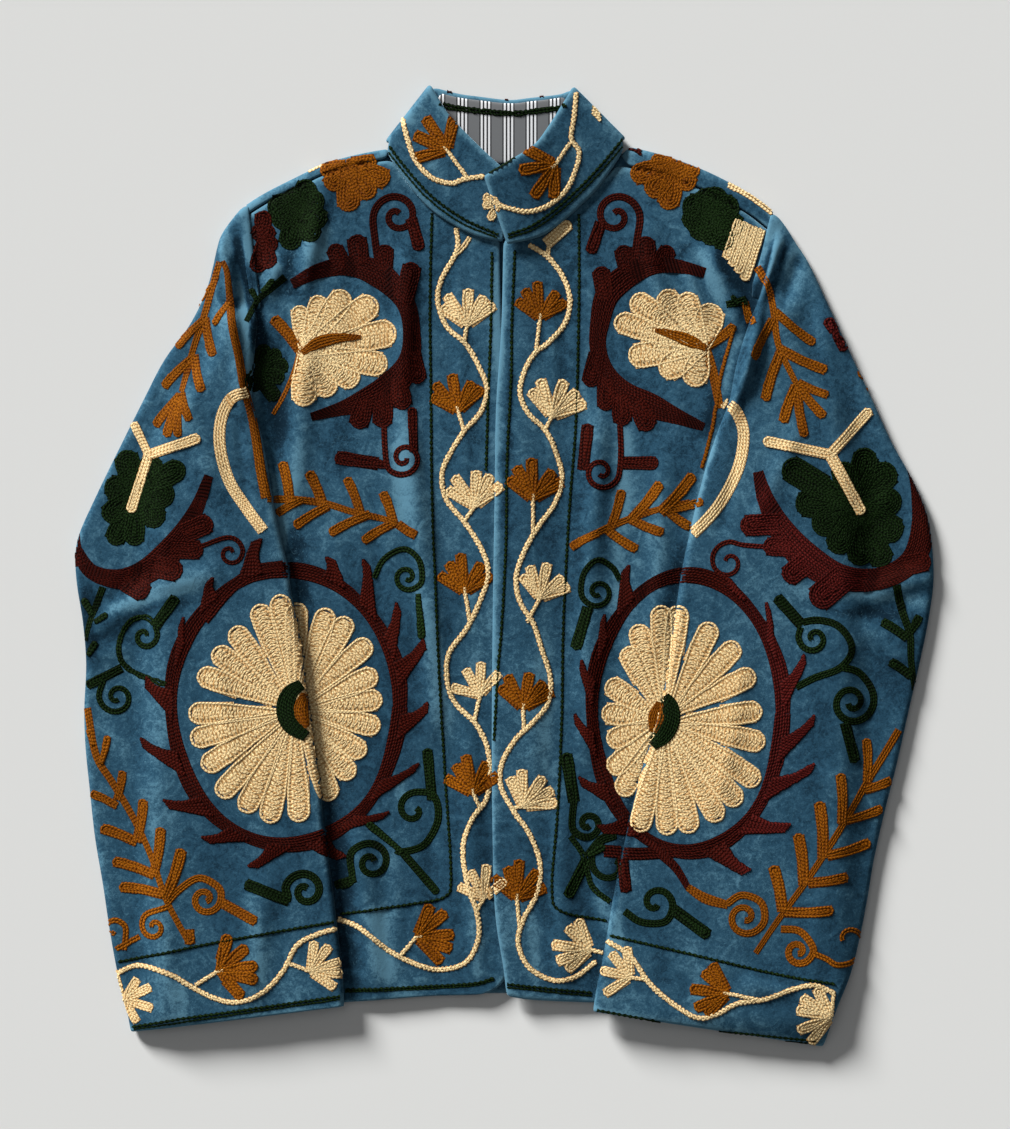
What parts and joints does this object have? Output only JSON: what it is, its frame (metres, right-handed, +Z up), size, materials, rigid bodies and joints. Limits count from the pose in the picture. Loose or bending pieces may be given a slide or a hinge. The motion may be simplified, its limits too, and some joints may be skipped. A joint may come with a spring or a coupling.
{
  "type": "jacket",
  "caption": "Short velvet jacket with a stand collar and an open front, covered in vine and flower embroidery, laid flat with its sleeves over its fronts.",
  "frame": {"origin": "on the table, under the middle of the laid-out jacket's box", "axes": "+Z up from the table, +Y along the back from the hem to the collar, +X to the wearer's left side"},
  "size_m": [0.6444, 0.7222, 0.02],
  "materials": {
    "velvet": "crushed velvet",
    "striped_lining": "woven stripe",
    "cream_thread": "silk chain stitch",
    "ochre_thread": "silk chain stitch",
    "maroon_thread": "silk chain stitch",
    "green_thread": "silk chain stitch"
  },
  "bodies": {
    "root": {"back": "velvet", "front_right": "velvet", "front_left": "velvet", "sleeve_right": "velvet", "sleeve_left": "velvet", "collar": "velvet", "collar_lining": "striped_lining"}
  },
  "joints": []
}
